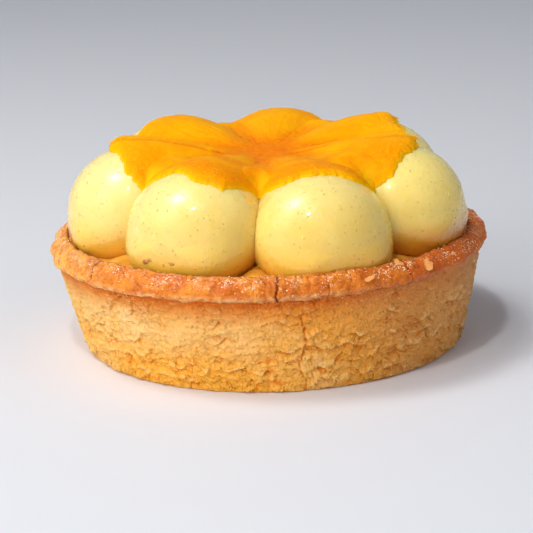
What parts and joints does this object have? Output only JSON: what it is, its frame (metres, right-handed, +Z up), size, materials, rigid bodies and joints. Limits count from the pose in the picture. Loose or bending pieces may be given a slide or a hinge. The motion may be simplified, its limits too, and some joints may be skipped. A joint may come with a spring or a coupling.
{
  "type": "fruit tart",
  "caption": "Small round custard tart: crumbly shortcrust case with a rolled rim, a ring of smooth custard domes and a draped glossy sheet of fruit gel.",
  "frame": {"origin": "on the surface that the tart stands on, under the middle of its rim", "axes": "+Z up through the tart's middle, -Y towards the side seen in front, +X to that side's right"},
  "size_m": [0.0822, 0.0822, 0.04],
  "materials": {
    "shortcrust": "baked shortcrust pastry, sandy and porous, golden brown on the rim",
    "custard": "smooth set custard, pale yellow, wet and slightly translucent",
    "fruit_gel": "set fruit gel, orange yellow, satin wet sheen, translucent where thin"
  },
  "bodies": {
    "root": {"crust": "shortcrust", "custard_dome_1": "custard", "custard_dome_2": "custard", "custard_dome_3": "custard", "custard_dome_4": "custard", "custard_dome_5": "custard", "custard_dome_6": "custard", "custard_dome_7": "custard", "fruit_gel_sheet": "fruit_gel"}
  },
  "joints": []
}
